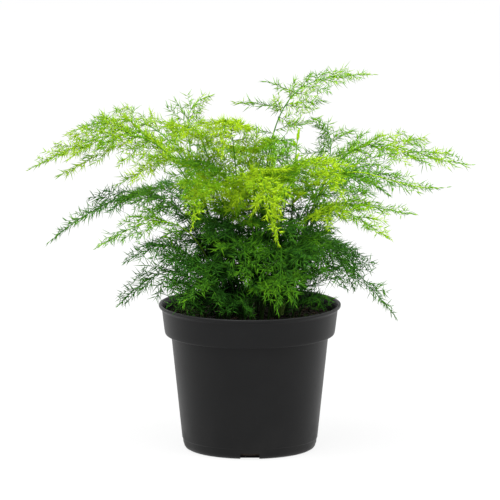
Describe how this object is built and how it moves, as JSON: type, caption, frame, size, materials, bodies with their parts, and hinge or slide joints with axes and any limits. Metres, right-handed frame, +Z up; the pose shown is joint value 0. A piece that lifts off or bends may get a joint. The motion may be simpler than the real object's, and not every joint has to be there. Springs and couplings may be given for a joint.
{
  "type": "potted asparagus fern",
  "caption": "Feathery asparagus fern with arching plumes of fine needle-like leaves, growing from soil in a round black plastic nursery pot with a stepped collar.",
  "frame": {"origin": "centre of the pot's flat base, on the surface that the pot stands on", "axes": "+Z up along the pot's axis; -Y is the front in the picture, +X its right"},
  "size_m": [0.2957, 0.233, 0.249],
  "materials": {
    "pot": "satin",
    "soil": "matte",
    "leaf_pale": "satin",
    "leaf_mid": "satin",
    "leaf_dark": "satin",
    "shoot": "satin"
  },
  "bodies": {
    "root": {"pot": "pot", "soil": "soil", "frond_left_high": "leaf_pale", "frond_left_back": "leaf_pale", "frond_left_top": "leaf_pale", "frond_front_high": "leaf_pale", "frond_crown_left": "leaf_pale", "frond_crown_right": "leaf_mid", "frond_top_right": "leaf_pale", "frond_right_up": "leaf_mid", "frond_right_high": "leaf_pale", "frond_right_mid": "leaf_mid", "frond_right_pale": "leaf_mid", "frond_right_bright": "leaf_pale", "frond_centre_right": "leaf_pale", "frond_front_bright": "leaf_pale", "frond_left_bright": "leaf_pale", "frond_centre_mid": "leaf_mid", "frond_left_mid": "leaf_mid", "frond_left_dark": "leaf_dark", "frond_left_light": "leaf_mid", "frond_left_low": "leaf_dark", "frond_left_fall": "leaf_dark", "frond_left_in": "leaf_dark", "frond_right_fall": "leaf_dark", "frond_right_low": "leaf_dark", "frond_centre_low": "leaf_dark", "frond_front_low": "leaf_mid", "frond_front_mid": "leaf_dark", "frond_front_left": "leaf_dark", "frond_centre_dark": "leaf_dark", "frond_front_fan": "leaf_dark", "frond_left_fan": "leaf_dark", "frond_right_fan": "leaf_dark", "frond_centre_fan": "leaf_dark", "frond_back_left": "leaf_mid", "frond_back_right": "leaf_mid", "frond_back_centre": "leaf_mid", "frond_back_low": "leaf_dark", "frond_back_fall": "leaf_dark", "frond_low_left": "leaf_dark", "frond_low_front": "leaf_dark", "frond_low_right": "leaf_dark", "frond_low_back": "leaf_dark", "young_shoot": "shoot"}
  },
  "joints": []
}
